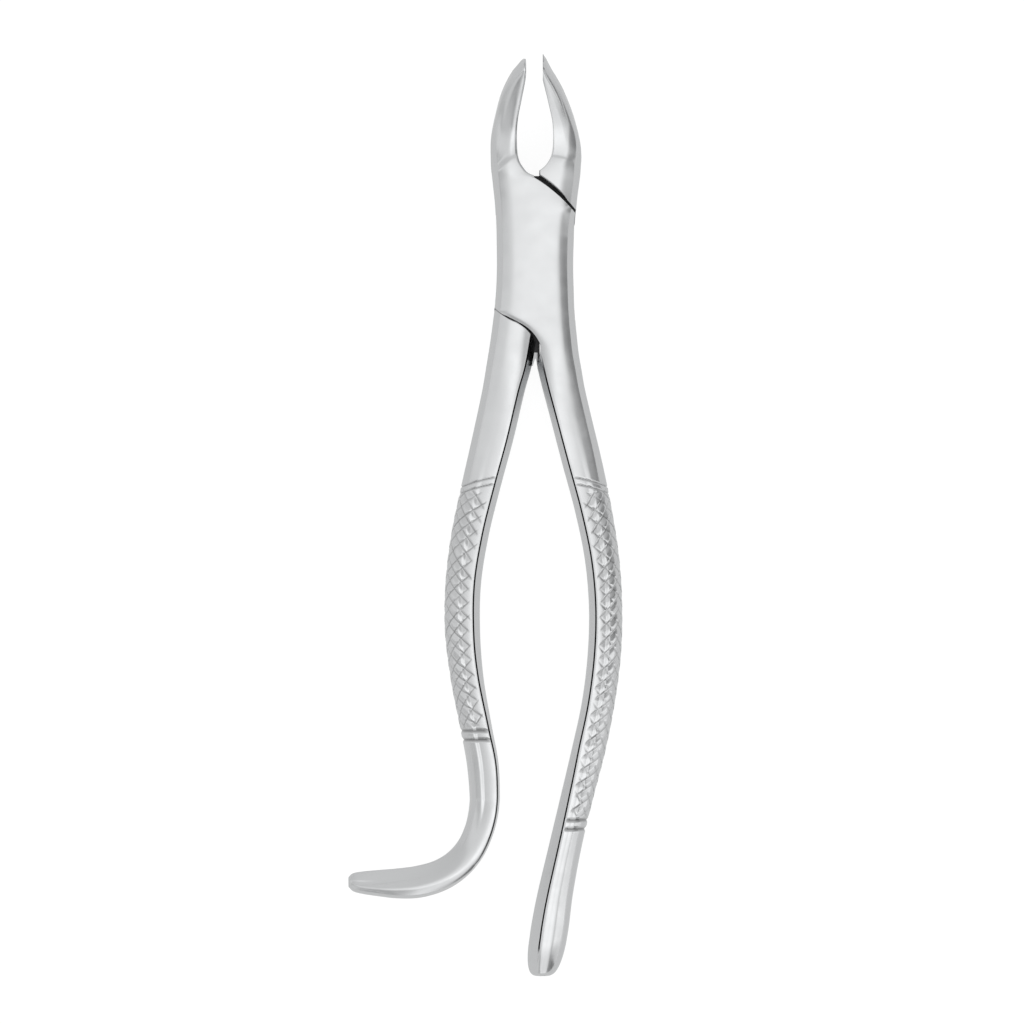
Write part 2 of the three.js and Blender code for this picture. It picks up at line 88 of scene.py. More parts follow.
# How uneven the hand-cut pattern is.
CUT_DRIFT = 0.05  # slow drift of the cuts' places, as a share of their spacing
CUT_DRIFT_RATE = 0.37  # radians of its wave for each millimetre along the handle
CUT_JITTER = 0.06  # of a cut's place, as a share of the spacing
END_JITTER = 0.35  # of where a cut ends, in millimetres
DEPTH_JITTER = 0.3  # share of a cut's depth
SHADE_JITTER = 0.25  # share of a cut's painted shade

STEEL_SLOT = 0
INSIDE_SLOT = 1  # faces inside the box joint: rougher unpolished steel, painted near black for the shade in its narrow gaps
SHARP_DEGREES = 38  # edges that turn by more than this are drawn sharp


def track(rows):
    """A smooth function through rows of (position, value, ...), in rising order. It gives the values."""
    table = np.array(rows, float)
    place = table[:, 0]
    values = table[:, 1:]
    before = np.maximum(np.arange(len(place)) - 1, 0)
    after = np.minimum(np.arange(len(place)) + 1, len(place) - 1)
    slopes = (values[after] - values[before]) / (place[after] - place[before])[:, None]

    def at(position):
        p = min(max(position, place[0]), place[-1])
        i = max(int(np.searchsorted(place, p)) - 1, 0)
        span = place[i + 1] - place[i]
        t = (p - place[i]) / span
        return (
            values[i] * (2 * t**3 - 3 * t**2 + 1)
            + values[i + 1] * (3 * t**2 - 2 * t**3)
            + slopes[i] * span * (t**3 - 2 * t**2 + t)
            + slopes[i + 1] * span * (t**3 - t**2)
        )

    return at


def smooth(share):
    """Rises smoothly from 0 to 1 as share does."""
    share = np.clip(share, 0, 1)
    return share**2 * (3 - 2 * share)


# ---------- Outlines of the limbs ----------
# Each row is (y, left edge x, right edge x), at the middle plane, where a limb is widest.

BOX_EDGES = track([
    (-131.6, -1.35, 5.8),
    (-127, -0.75, 6.55),
    (-121, 0.4, 7.3),
    (-111.7, 2.6, 9),
    (-102.5, 4.8, 11.2),
    (-93.2, 7, 13.6),
    (-84, 9, 15.4),
    (-74.7, 10.15, 16.6),
    (-65.4, 10.4, 16.85),
    (-56.2, 9.6, 16.3),
    (-46.9, 7.7, 14.9),
    (-37.6, 5.2, 13),
    (-28.4, 2.8, 10.8),
    (-23, 1.35, 9.55),
    (-19.5, 0.5, 8.95),
    (-17, -0.1, 8.5),
    (-15, -0.75, 8.25),
    (-13, -2.2, 8.05),
    (-11.6, -3.6, 7.9),
    (-10.4, -5.4, 7.8),
    (-9, -7.7, 7.7),
    (-7, -7.75, 7.58),
    (-4.2, -7.55, 7.5),
    (0.4, -7.4, 7.4),
    (5, -7.45, 7.5),
    (8, -7.5, 7.6),
    (10.5, -7.62, 7.8),
    (12, -7.72, 8.0),
    (13.5, -7.85, 6.9),
    (15, -8.02, 5.1),
    (16.4, -8.17, 3.0),
    (17.4, -8.28, 0.9),
    (18.1, -8.36, -1.0),
    (18.9, -8.45, -1.95),
    (20.9, -8.55, -3.1),
    (24.9, -8.5, -3.5),
    (29.5, -7.6, -3.25),
    (33.6, -6.4, -2.5),
    (37, -4.6, -1.85),
    (38.4, -3.3, -1.7),
    (39.1, -2.55, -1.75),
    (39.6, -2.1, -1.85),
])

HOOK_HANDLE_EDGES = track([
    (-106, -12.8, -7.15),
    (-102.5, -12.6, -6.8),
    (-95.5, -13.2, -7.05),
    (-88.6, -14.5, -8.3),
    (-79.3, -16.3, -9.9),
    (-70.1, -17.4, -10.6),
    (-60.8, -17.3, -10.4),
    (-51.5, -16.2, -8.9),
    (-42.3, -14.3, -6.65),
    (-33, -12.2, -4.15),
    (-23.7, -10.2, -1.95),
    (-19, -9.4, -0.65),
    (-14, -8.6, 0.25),
    (-8, -7.8, 1.2),
])

POINTED_BEAK_EDGES = track([
    (6, -3.6, 7.5),
    (13, -3, 8.1),
    (16.5, -1.7, 8.55),
    (18.1, 0, 8.75),
    (19.7, 1.95, 8.85),
    (21.6, 3.1, 8.95),
    (24.2, 3.5, 8.7),
    (29, 3.3, 7.45),
    (33.6, 2.35, 5.6),
    (36, 1.75, 4.25),
    (37.2, 1.45, 3.45),
    (38.4, 1.25, 2.75),
    (39.2, 1.15, 2.3),
    (39.8, 1.1, 1.85),
    (41, 1.05, 1.2),
])

# (y, half depth, outer flank width, inner flank width, roundness of the outer side, share of the full depth
#  that the seam along the inner flank has)
HANDLE_FORM = track([
    (-140, 3.4, 1.5, 2.1, 0.6, 0.7),
    (-128, 3.65, 1.5, 2.1, 0.75, 1),
    (-112, 3.9, 1.6, 1.9, 0.85, 1),
    (-100, 4.08, 1.7, 1.6, 0.95, 1),
    (-90, 4.2, 1.8, 1.3, 1, 1),
    (-65, 4.4, 2.0, 1.3, 1, 1),
    (-45, 4.2, 1.8, 1.25, 0.9, 1),
    (-38, 4.1, 1.4, 1.25, 0.25, 1),
    (-28, 4.2, 1.25, 1.2, 0.05, 1),
    (-20, 4.33, 1.2, 1.2, 0, 0.8),
    (-15, MID, 1.2, 1.2, 0, 0),
    (20, MID, 1.2, 1.2, 0, 0),
])

# (y, inner flank width, seam) of the hook half's handle, where it differs
HOOK_HANDLE_FLANK = track([
    (-110, 0.36, 1),
    (-98, 0.38, 1),
    (-84, 0.75, 1),
    (-72, 1.2, 1),
    (-30, 1.25, 1),
    (-14, 1.2, 1),
    (0, 1.2, 1),
])

# (y, place of a face's highest line from 0 at its inner edge to 1, drop from there to its outer edge,
#  extra drop of its left shoulder, extra drop of its right shoulder)
FACE_FORM = track([
    (-130, 0.2, 0.5, 0, 0),
    (-45, 0.1, 0.6, 0, 0),
    (-28, 0.12, 0.6, 0, 0.05),
    (-14, 0.5, 0.2, 0.3, 0.45),
    (-6, 0.5, 0.2, 0.45, 0.5),
    (11, 0.5, 0.2, 0.45, 0.6),
    (14.5, 0.5, 0.2, 0.4, 0),
    (20, 0.5, 0.1, 0.3, 0),
    (24, 0.5, 0.03, 0.1, 0),
])

# (y, half depth, outer flank, inner flank, half height of the inner land, outer roundness)
BEAK_FORM = track([
    (6, MID, 1.2, 1.2, SIDE_LAND, 0),
    (12, MID, 1.2, 0.8, SIDE_LAND, 0),
    (15, MID, 1.2, 0.2, SIDE_LAND, 0),
    (17, MID, 1.25, 0.07, SIDE_LAND, 0),
    (19.5, 4.4, 1.3, 0.06, SIDE_LAND, 0),
    (21.2, 4.3, 1.3, 0.06, SIDE_LAND, 0),
    (22.6, 4.1, 1.3, 0.06, 1.55, 0),
    (25, 3.75, 1.3, 0.06, 1.6, 0.05),
    (28.5, 3.2, 1.25, 0.06, 1.6, 0.1),
    (33, 2.5, 1.2, 0.06, 1.5, 0.1),
    (36.5, 2.15, 1.1, 0.06, 1.6, 0.1),
    (40.5, 2.0, 0.9, 0.06, 1.6, 0.1),
])

# (y, place of the ridge along the beak's front from 0 on the gripping side to 1, fall of the face for each
#  millimetre towards the gripping side, fall towards the outer side, softness of the ridge, extra drop of the
#  outer shoulder, width of that shoulder)
ROUND_BEAK_FRONT = track([
    (18, 0.26, 0.05, 0.3, 0.25, 0, 1),
    (23, 0.26, 0.05, 0.3, 0.25, 0, 1),
    (30, 0.24, 0.05, 0.24, 0.3, 0, 1),
    (40, 0.3, 0.05, 0.17, 0.15, 0, 1),
])
POINTED_BEAK_FRONT = track([
    (6, 0.6, -0.05, 0.12, 0.03, 0.5, 2.2),
    (17, 0.6, -0.05, 0.12, 0.03, 0.55, 2.8),
    (22, 0.48, -0.07, 0.14, 0.03, 0.5, 2.2),
    (29, 0.43, -0.05, 0.17, 0.03, 0.45, 0.9),
    (35, 0.3, -0.03, 0.16, 0.03, 0.4, 0.9),
    (40.5, 0.12, 0, 0.12, 0.03, 0.2, 0.7),
])

# (y, lean in degrees): a beak's lean towards the front. It starts sharply, where the flat face ends.
LEAN_START = 21
BEAK_LEAN = track([
    (LEAN_START, 0),
    (21.5, 1),
    (22.2, 6.5),
    (23.4, 10),
    (26, 14.5),
    (30, 23),
    (35, 36),
    (38, 42.5),
    (41, 46),
])

# On the outer side the flat face ends further down: how much, and the length over which the beak's planes
# take over from it.
ROUND_BEAK_START = (3.6, 2.4)
POINTED_BEAK_START = (1.5, 6)
FINE_POINT = 1.0  # length of the pointed beak's thin point beyond POINTED_TIP_Y

# (place along the hook, x, y, width, half depth, outer flank, inner flank, roundness of the outer side)
HOOK_PATH = track([
    (-1, -9.72, -99.5, 5.8, 4.09, 1.71, 0.37, 0.95),
    (0, -9.7, -102.5, 5.8, 4.06, 1.68, 0.37, 0.92),
    (1, -10.05, -105.6, 5.75, 3.85, 1.4, 0.36, 0.6),
    (2, -10.9, -108.8, 5.65, 3.65, 1.2, 0.35, 0.2),
    (3, -12.5, -112.2, 5.7, 3.5, 1.25, 0.35, 0),
    (4, -15, -115.1, 5.85, 3.4, 1.55, 0.4, 0),
    (5, -18.3, -117.2, 6.05, 3.3, 1.8, 0.5, 0),
    (6, -22.3, -118.4, 6.15, 3.15, 2.05, 0.6, 0),
    (7, -26.2, -118.75, 5.8, 2.95, 2.2, 0.6, 0),
    (8, -30, -118.7, 5.1, 2.65, 2.35, 0.6, 0.1),
    (9, -33.4, -118.6, 4.3, 2.2, 2.3, 0.6, 0.3),
    (9.6, -35.2, -118.5, 3.4, 1.7, 1.7, 0.5, 0.6),
    (9.9, -36, -118.5, 1.9, 0.9, 0.8, 0.4, 1),
])

# ---------- Sections ----------

# Points on each stretch of the upper half of a section, from the middle of the inner side to the middle of
# the outer side.
INNER_LAND_POINTS = 2
CORNER_POINTS = 4
INNER_FLANK_POINTS = 3
FACE_POINTS = 25
OUTER_FLANK_POINTS = 13
OUTER_LAND_POINTS = 5
EASE_LIMIT = 0.42  # largest share of a side that one softened corner takes


def stretch(start, end, count):
    """Points from start to end, without the last one."""
    t = np.linspace(0, 1, count, endpoint=False)[:, None]
    return np.array(start) * (1 - t) + np.array(end) * t


def eased(corner, before, after, reach):
    """A softened corner as a curve between a point on each of its two sides."""
    corner = np.array(corner, float)

    def towards(other):
        way = np.array(other, float) - corner
        length = np.linalg.norm(way)
        return corner + way / length * min(reach, EASE_LIMIT * length)

    a = towards(before)
    b = towards(after)
    t = np.linspace(0, 1, CORNER_POINTS)[:, None]
    return a * (1 - t) ** 2 + 2 * corner * t * (1 - t) + b * t**2


def upper_outline(width, depth, flank_out, flank_in, land_out, land_in, face, seam):
    """The upper half of a section as (across, deep) points, from 0 across on the inner side to width."""
    peak, drop, roll_in, roll_out = face
    face_in = flank_in
    face_out = width - flank_out
    crest = face_in + peak * (face_out - face_in)

    def face_drop(across):
        inner = roll_in * np.clip(1 - (across - face_in) / SHOULDER_WIDTH, 0, 1) ** 3
        outer = roll_out * np.clip(1 - (face_out - across) / SHOULDER_WIDTH, 0, 1) ** 3
        return drop * ((across - crest) / (face_out - crest)) ** 2 + inner + outer

    corners = [
        (0, 0),
        (0, land_in),
        (face_in, depth - face_drop(face_in)),
        (face_out, depth - face_drop(face_out)),
        (width, land_out),
        (width, 0),
    ]
    # The corners of the curved face are softened towards points that lie on the curve.
    inward = 2.4 * EDGE_EASE
    near_in = (face_in + inward, depth - face_drop(face_in + inward))
    near_out = (face_out - inward, depth - face_drop(face_out - inward))
    soft = [
        eased(corners[1], corners[0], corners[2], EDGE_EASE),
        eased(corners[2], corners[1], near_in, min(EDGE_EASE, 0.7 * flank_in)),
        eased(corners[3], near_out, corners[4], EDGE_EASE),
        eased(corners[4], corners[3], corners[5], EDGE_EASE),
    ]
    across = np.linspace(soft[1][-1][0], soft[2][0][0], FACE_POINTS, endpoint=False)
    top = np.column_stack([across, depth - face_drop(across)])
    # The seam is a steep-sided groove cut into the inner corner of the face.
    groove = np.array([(0.0, 0.0), (0.05, -SEAM_DEPTH * seam), (0.25, -SEAM_DEPTH * seam), (0.3, 0.0)])
    edge = soft[1].copy()
    edge[:, 0] = soft[1][:, 0] * (1 - seam) + (soft[1][0][0] + groove[:, 0]) * seam
    edge[:, 1] = np.interp(edge[:, 0], soft[1][:, 0], soft[1][:, 1]) + groove[:, 1]
    parts = [
        stretch(corners[0], soft[0][0], INNER_LAND_POINTS),
        soft[0][:-1],
        stretch(soft[0][-1], soft[1][0], INNER_FLANK_POINTS),
        edge,
        top[1:],
        soft[2][:-1],
        stretch(soft[2][-1], soft[3][0], OUTER_FLANK_POINTS),
        soft[3][:-1],
        stretch(soft[3][-1], corners[5], OUTER_LAND_POINTS),
    ]
    return np.concatenate(parts)


def seam_shade(outline, seam):
    """How much painted shade each point of a section gets in the seam's groove."""
    first = INNER_LAND_POINTS + CORNER_POINTS + INNER_FLANK_POINTS
    painted_shade = np.zeros(len(outline))
    painted_shade[[first, first + 1, -first, -first - 1]] = seam
    return painted_shade


def section(width, depth, flank_out, flank_in, land_out, land_in, round_out, round_in, face, seam=0.0):
    """A whole section as (across, deep) points round it, starting at the middle of the inner side."""
    # On a narrow section the flanks leave room for a face between them.
    flank_out = min(flank_out, 0.62 * width)
    flank_in = min(flank_in, 0.3 * width)
    upper = upper_outline(width, depth, flank_out, flank_in, land_out, land_in, face, seam)
    half = width / 2
    turn = np.arctan2(upper[:, 1] / depth, (upper[:, 0] - half) / half)
    oval = np.stack([half + half * np.cos(turn), depth * np.sin(turn)], axis=1)
    # The roundness of each side fades out near the middle of the face.
    share = np.where(upper[:, 0] > half, round_out, round_in)
    centred = np.abs(upper[:, 0] / half - 1)
    share = share * np.clip(centred * 4, 0, 1)
    upper = upper * (1 - share[:, None]) + oval * share[:, None]
    lower = upper[1:][::-1] * [1, -1]
    outer = np.array([[width, 0.0]])
    return np.concatenate([upper, outer, lower])


# ---------- Surface detail on the handles ----------


def notch(distance, half_width, depth):
    """A V-shaped notch with a slightly rounded floor: how deep it is at a distance from its line."""
    return depth * np.clip(1 - np.abs(distance) / half_width, 0, 1) ** 0.9


def unevenness(index, seed):
    """A number from -1 to 1 that looks random but is always the same for the same index and seed."""
    return np.sin(index * 12.9898 + seed * 78.233) * np.cos(index * 4.1414 + seed * 3.17)


def slanted_cuts(along, around, from_inner, slant, seed, form):
    """Depth and painted shade of one family of slanted cuts. Along and around are distances on the surface.
    """
    depth, gentle, steep = form
    place = (along + slant * around) / CUT_PITCH + CUT_DRIFT * np.sin(along * CUT_DRIFT_RATE + seed)
    index = np.round(place)
    off_line = place - index + CUT_JITTER * unevenness(index, seed)
    gap = off_line * CUT_PITCH * math.cos(math.atan(slant))
    slope = np.where(gap > 0, gentle, steep)
    # A cut runs out towards the plain strip beside the inner flank.
    reach = np.clip((from_inner - PLAIN_STRIP - END_JITTER * unevenness(index, seed + 2)) / CUT_RUN_OUT, 0, 1)
    deepest = depth * (1 + DEPTH_JITTER * unevenness(index, seed + 5)) * reach
    cut = np.clip(deepest - np.abs(gap) * slope, 0, None)
    # The painted shade line ends a little before the cut does.
    line = np.clip(1 - np.abs(gap) / CUT_LINE, 0, 1) * np.clip(reach * 4 - 0.3, 0, 1)
    return cut, line * (1 - SHADE_JITTER + SHADE_JITTER * unevenness(index, seed + 8))


def ring_pair(along, centre, form):
    """How deep a pair of rings round a handle is, at places along it."""
    half_width, depth, pitch = form
    upper = notch(along - centre + pitch / 2, half_width, depth)
    lower = notch(along - centre - pitch / 2, half_width, depth)
    return np.maximum(upper, lower)


def handle_relief(y, along, around, from_inner, grip_top, grip_end, mark):
    """How far the surface is cut in by the rings and the cross cuts, and the painted shade in those grooves.
    """
    climb = RING_RISE * from_inner + RING_CURL * from_inner**2
    top_rings = ring_pair(-y - climb, grip_top - RINGS_ABOVE_GRIP, TOP_RING)
    rings = np.maximum(top_rings, ring_pair(-y, grip_end, LOW_RING))
    rings = rings * np.clip((from_inner - RING_START) / RING_RUN_IN, 0, 1)
    main, main_line = slanted_cuts(along, around, from_inner, CUT_SLANT, 1.0, LEAF_CUT)
    cross, cross_line = slanted_cuts(along, around, from_inner, -CUT_SLANT, 2.0, FINE_CUT)
    # The cuts stop short of the rings.
    from_top = along - grip_top - GRIP_MARGINS[0]
    from_end = grip_end - GRIP_MARGINS[1] - along
    grip = np.clip(from_top / GRIP_FADE, 0, 1) * np.clip(from_end / GRIP_FADE, 0, 1)
    # Painted shade: dark lines along the cuts, and darkness in the rings that grows with their depth.
    darkness = np.maximum(mark * grip * np.maximum(main_line, cross_line), RING_DARKNESS * rings)
    return np.maximum(rings, grip * np.maximum(main, cross)), darkness


# ---------- Meshes ----------


def loft(rings):
    """Vertices and faces of a closed solid through rings that all have the same number of points."""
    size = len(rings[0])
    count = len(rings)
    vertices = np.concatenate([np.array(r, float) for r in rings])
    around = np.arange(size)
    following = (around + 1) % size
    faces = []
    for r in range(count - 1):
        low = r * size
        high = low + size
        faces.append(np.stack([low + around, low + following, high + following, high + around], axis=1))
    quads = np.concatenate(faces)
    centres = np.array([rings[0].mean(axis=0), rings[-1].mean(axis=0)])
    first = count * size
    vertices = np.concatenate([vertices, centres])
    last = (count - 1) * size
    start_cap = np.stack([following, around, np.full(size, first)], axis=1)
    end_cap = np.stack([last + around, last + following, np.full(size, first + 1)], axis=1)
    return vertices, quads.tolist() + start_cap.tolist() + end_cap.tolist()


def signed_volume(vertices, faces):
    """Six times the volume that the faces enclose, negative if they point in."""
    fans = [(face[0], face[i], face[i + 1]) for face in faces for i in range(1, len(face) - 1)]
    a, b, c = (vertices[[fan[k] for fan in fans]] for k in range(3))
    return float(np.sum(a * np.cross(b, c)))


def solid(name, vertices, faces, slots=None):
    """A mesh object in metres with its faces pointing out. Slots gives each face's material slot."""
    vertices = np.array(vertices, float)
    if signed_volume(vertices, faces) < 0:
        faces = [face[::-1] for face in faces]
    mesh = bpy.data.meshes.new(name)
    mesh.from_pydata((vertices * MM).tolist(), [], faces)
    mesh.materials.append(steel)
    mesh.materials.append(joint_inside)
    if slots is not None:
        mesh.polygons.foreach_set("material_index", np.array(slots, np.int32))
    thing = bpy.data.objects.new(name, mesh)
    bpy.context.scene.collection.objects.link(thing)
    return thing


def prism(name, levels, wall_slots, cap_slot=INSIDE_SLOT):
    """A solid from stacked copies of one outline: (height, outline) pairs. Outlines run anticlockwise."""
    size = len(levels[0][1])
    vertices = np.concatenate([np.column_stack([o, np.full(size, z)]) for z, o in levels])
    faces = []
    slots = []
    for r in range(len(levels) - 1):
        for i in range(size):
            j = (i + 1) % size
            faces.append([r * size + i, r * size + j, (r + 1) * size + j, (r + 1) * size + i])
            slots.append(wall_slots[r])
    last = (len(levels) - 1) * size
    faces.append(list(range(size))[::-1])
    faces.append(list(range(last, last + size)))
    return solid(name, vertices, faces, [*slots, cap_slot, cap_slot])


def anticlockwise(outline):
    """The outline, turned round if it runs clockwise."""
    outline = np.array(outline, float)
    x, y = outline[:, 0], outline[:, 1]
    area = np.sum(x * np.roll(y, -1) - np.roll(x, -1) * y)
    return outline if area > 0 else outline[::-1]


def combine(target, operation, *tools):
    """Cuts the tools from the target, or joins them to it, and removes the tools."""
    for tool in tools:
        modifier = target.modifiers.new(operation, "BOOLEAN")
        modifier.operation = operation
        modifier.solver = "MANIFOLD"
        modifier.object = tool
        graph = bpy.context.evaluated_depsgraph_get()
        result = bpy.data.meshes.new_from_object(target.evaluated_get(graph))
        target.modifiers.clear()
        target.data = result
        bpy.data.objects.remove(tool)
    return target


# ---------- Limbs ----------


def place_section(outline, left, right, y, side):
    """Puts a section across from one edge to the other: side is -1 if the outer edge is the left one."""
    x = left + outline[:, 0] if side > 0 else right - outline[:, 0]
    return np.column_stack([x, np.full(len(outline), y), MID + outline[:, 1]])


def outward(ring):
    """Unit normals, in the plane of the ring, that point out of it."""
    step = np.roll(ring, -1, axis=0) - np.roll(ring, 1, axis=0)
    across = step[:, [0, 2]]
    normal = np.column_stack([across[:, 1], -across[:, 0]])
    normal /= np.maximum(np.linalg.norm(normal, axis=1), 1e-9)[:, None]
    centre = ring[:, [0, 2]].mean(axis=0)
    if np.sum((ring[:, [0, 2]] - centre) * normal) < 0:
        normal = -normal
    return np.column_stack([normal[:, 0], np.zeros(len(ring)), normal[:, 1]])


def inner_land(depth, flank_in):
    """Half height of a handle's inner land. A wide inner flank reaches further down, to stay steep."""
    return min(max(depth - FLANK_FALL * flank_in, LEAST_LAND), SIDE_LAND)


def handle_rings(edges, side, stations, grip_end):
    """Rings of a handle at each y of stations, with its grip pattern, and the painted shade of each point."""
    rings = []
    painted_shades = []
    for y in stations:
        left, right = edges(y)
        centre = (left + right) / 2
        # How far the middle line moves sideways over the next millimetre down the handle.
        drift = (edges(y - 0.5).sum() - edges(y + 0.5).sum()) / 2
        lean = drift / math.hypot(drift, 1.0)
        depth, flank_out, flank_in, round_out, seam = HANDLE_FORM(y)
        if side < 0:
            flank_in, seam = HOOK_HANDLE_FLANK(y)
        land_in = inner_land(depth, flank_in)
        outline = section(
            right - left, depth, flank_out, flank_in, SIDE_LAND, land_in, round_out, 0.0, FACE_FORM(y), seam
        )
        ring = place_section(outline, left, right, y, side)
        walked = np.concatenate([[0], np.cumsum(np.linalg.norm(np.diff(outline, axis=0), axis=1))])
        around = walked - walked[np.argmax(outline[:, 0])]
        along = -y + (ring[:, 0] - centre) * lean
        # Strength of the painted shade along the cuts.
        mark = CUT_DARKNESS
        if side > 0:
            start, length, change = FADING_CUT_SHADE
            mark = mark - change * smooth((start - y) / length)
        from_inner = outline[:, 0] - flank_in
        cut, darkness = handle_relief(y, along, around, from_inner, -GRIP_TOP, -grip_end, mark)
        ring = ring - outward(ring) * cut[:, None]
        painted_shades.append(np.clip(darkness + seam_shade(outline, seam), 0, 1))
        rings.append(ring)
    return rings, painted_shades


def stations_between(first, last, step, spans):
    """Positions from first down to last. A span is (low, high, finer step inside it)."""
    places = [first]
    while places[-1] > last:
        y = places[-1]
        places.append(y - min([step, *(finer for low, high, finer in spans if low <= y <= high)]))
    places[-1] = last
    return places


def grip_spans(grip_end):
    """Spans with finer steps along a grip, and the finest ones at its rings."""
    cut_step = 0.2
    ring_step = 0.12
    return [
        (grip_end - 2.0, GRIP_TOP + 2.0, cut_step),
        (GRIP_TOP - 1.8, GRIP_TOP + 2.0, ring_step),
        (grip_end - 2.0, grip_end + 2.0, ring_step),
    ]


def end_cap(edges, side, last, reach, drift, steps):
    """Rings that round off the straight handle's end. They stop just short of a quarter turn."""
    left, right = edges(last)
    depth, flank_out, flank_in, round_out, seam = HANDLE_FORM(last)
    rings = []
    painted_shades = []
    for angle in np.linspace(0, math.radians(89), steps)[1:]:
        along = math.sin(angle) * reach
        share = math.cos(angle)
        blunt = math.sqrt(share)
        centre = (left + right) / 2 + drift * along
        width = (right - left) * blunt
        # Towards the end the handle's section turns into an oval.
        flat = min(1.0, share * 1.6)
        land = inner_land(depth, flank_in) * blunt
        peak, drop, *rolls = FACE_FORM(last)
        # The seam runs out at the start of the cap.
        line = seam * min(max((share - 0.9) * 12, 0), 1)
        outline = section(
            width,
            depth * blunt,
            flank_out,
            flank_in * (0.4 + 0.6 * blunt),
            SIDE_LAND * blunt,
            land,
            1 - (1 - round_out) * flat,
            1 - flat,
            (peak, drop * blunt, *rolls),
            line,
        )
        rings.append(place_section(outline, centre - width / 2, centre + width / 2, last - along, side))
        painted_shades.append(seam_shade(outline, line))
    return rings, painted_shades


def hook_rings():
    """Rings of the finger hook, from the end of the handle to the blunt tip."""
    rings = []
    painted_shades = []
    blunt = 9.6  # where the blunt tip starts, on the path's own scale
    tip = 9.9
    for k in np.concatenate([np.arange(0.04, blunt, 0.12), np.linspace(blunt, tip, 7)]):
        x, y, width, depth, flank_out, flank_in, round_out = HOOK_PATH(k)
        way = (HOOK_PATH(k + 0.05) - HOOK_PATH(k - 0.05))[:2]
        way /= np.linalg.norm(way)
        outwards = np.array([way[1], -way[0]])
        # The first rings turn gradually from the handle's level sections to ones square to the hook.
        start = min(1.0, k / 0.8)
        outwards = outwards * start + np.array([-1.0, 0.0]) * (1 - start)
        outwards /= np.linalg.norm(outwards)
        land = min(SIDE_LAND, depth * 0.4)
        round_in = min(1.0, max(0.0, round_out)) if k > 8 else 0.0
        # The seam runs out as the hook turns outwards.
        line = min(max((4.6 - k) / 2.5, 0), 1)
        # The face gets more crowned along the hook and flattens at its tip.
        drop = (0.55 + 0.1 * min(k, 5)) * min(max((tip - k) / 2, 0.05), 1)
        face = (0.15 + 0.25 * min(k, 5) / 5, drop * min(1, width / 6), 0.0, 0.0)
        outline = section(width, depth, flank_out, flank_in, land, land, round_out, round_in, face, line)
        across = outline[:, 0] - width / 2
        ring = np.column_stack([x + outwards[0] * across, y + outwards[1] * across, MID + outline[:, 1]])
        rings.append(ring)
        painted_shades.append(seam_shade(outline, line))
    return rings, painted_shades


def beak_lines():
    """Places along a beak in plan, with its lean and the height of its middle line at each."""
    step = 0.05
    places = np.arange(0, 46, step)
    leans = np.radians([BEAK_LEAN(p)[0] for p in places])
    heights = MID + np.concatenate([[0], np.cumsum(np.tan(leans[:-1]) * step)])
    return places, leans, heights


BEAK_LINES = beak_lines()


def beak_points(y, x, deep, early=0.0):
    """Section points of a beak, square to its middle line. Early is how much sooner a point bends."""
    places, leans, heights = BEAK_LINES
    lean = np.interp(y + early, places, leans)
    height = np.interp(y + early, places, heights)
    return np.column_stack([x, y - deep * np.sin(lean), height + deep * np.cos(lean)])


def beak_rings(edges, outer_side, first, tip, share_at, front_at, start):
    """Rings of a beak from its tip down to y = first, all placed from left to right."""
    rings = []
    start_shift, start_length = start
    gaps = np.concatenate([np.linspace(0.02, 2.4, 22), np.arange(2.6, tip - first, 0.25), [tip - first]])
    for gap in gaps:
        y = tip - gap
        left, right = edges(y)
        depth, flank_out, flank_in, land_in, round_out = BEAK_FORM(y)
        share = share_at(gap)
        width = right - left
        if outer_side > 0:
            flank_out *= 1 - 0.7 * smooth((y - 20) / 7)
        outer = (flank_out, min(SIDE_LAND, depth * 0.45) * share, round_out)
        inner = (min(flank_in, 0.25 * width), min(land_in, depth * 0.8) * share, 0.0)
        right_and_left = (outer, inner) if outer_side > 0 else (inner, outer)
        flanks, lands, roundness = zip(*right_and_left)
        peak, drop, roll, _ = FACE_FORM(y)
        rolls = (0.0, 0.0) if outer_side > 0 else (roll * (1 - smooth((y - 20) / 4)), 0.0)
        ridge, fall_in, fall_out, softness, shoulder, shoulder_width = front_at(y)
        outline = section(width, depth * share, *flanks, *lands, *roundness, (peak, drop, *rolls))
        from_inner = outline[:, 0] if outer_side > 0 else width - outline[:, 0]
        place = np.clip(from_inner / width, 0, 1)
        # The flat face of the joint runs further up on the inner side, so everything starts lower outside.
        early = start_shift * place**1.5 * (1 - smooth((y - 21.5) / 7))
        # Two planes meet along a soft ridge on the front and on the back. They flatten towards the tip.
        planes = smooth((y + early - LEAN_START) / start_length) * (1 - 0.6 * smooth((y - 30) / 11))
        past = from_inner - ridge * width
        bent = np.sqrt(past**2 + softness)
        fallen = fall_out * (bent + past) / 2 + fall_in * (bent - past) / 2
        from_edge = width - flank_out - from_inner
        shoulder_drop = shoulder * np.clip(1 - from_edge / shoulder_width, 0, 1) ** 2
        high = np.clip(np.abs(outline[:, 1]) / (depth * share), 0, 1) ** 2
        deep = outline[:, 1] - np.sign(outline[:, 1]) * share * (planes * fallen + shoulder_drop) * high
        rings.append(beak_points(y, left + outline[:, 0], deep, early))
    return rings


def round_share(gap):
    """Share of the full depth that the rounded beak has, at a distance from its tip."""
    radius = 1.45
    return 1.0 if gap > radius else max(0.1, math.sqrt(1 - (1 - gap / radius) ** 2))


def point_share(gap):
    """Share of the full depth that the pointed beak has, at a distance from its tip."""
    taper = 1.15
    return min(max(gap / taper, 0.06), 1.0)


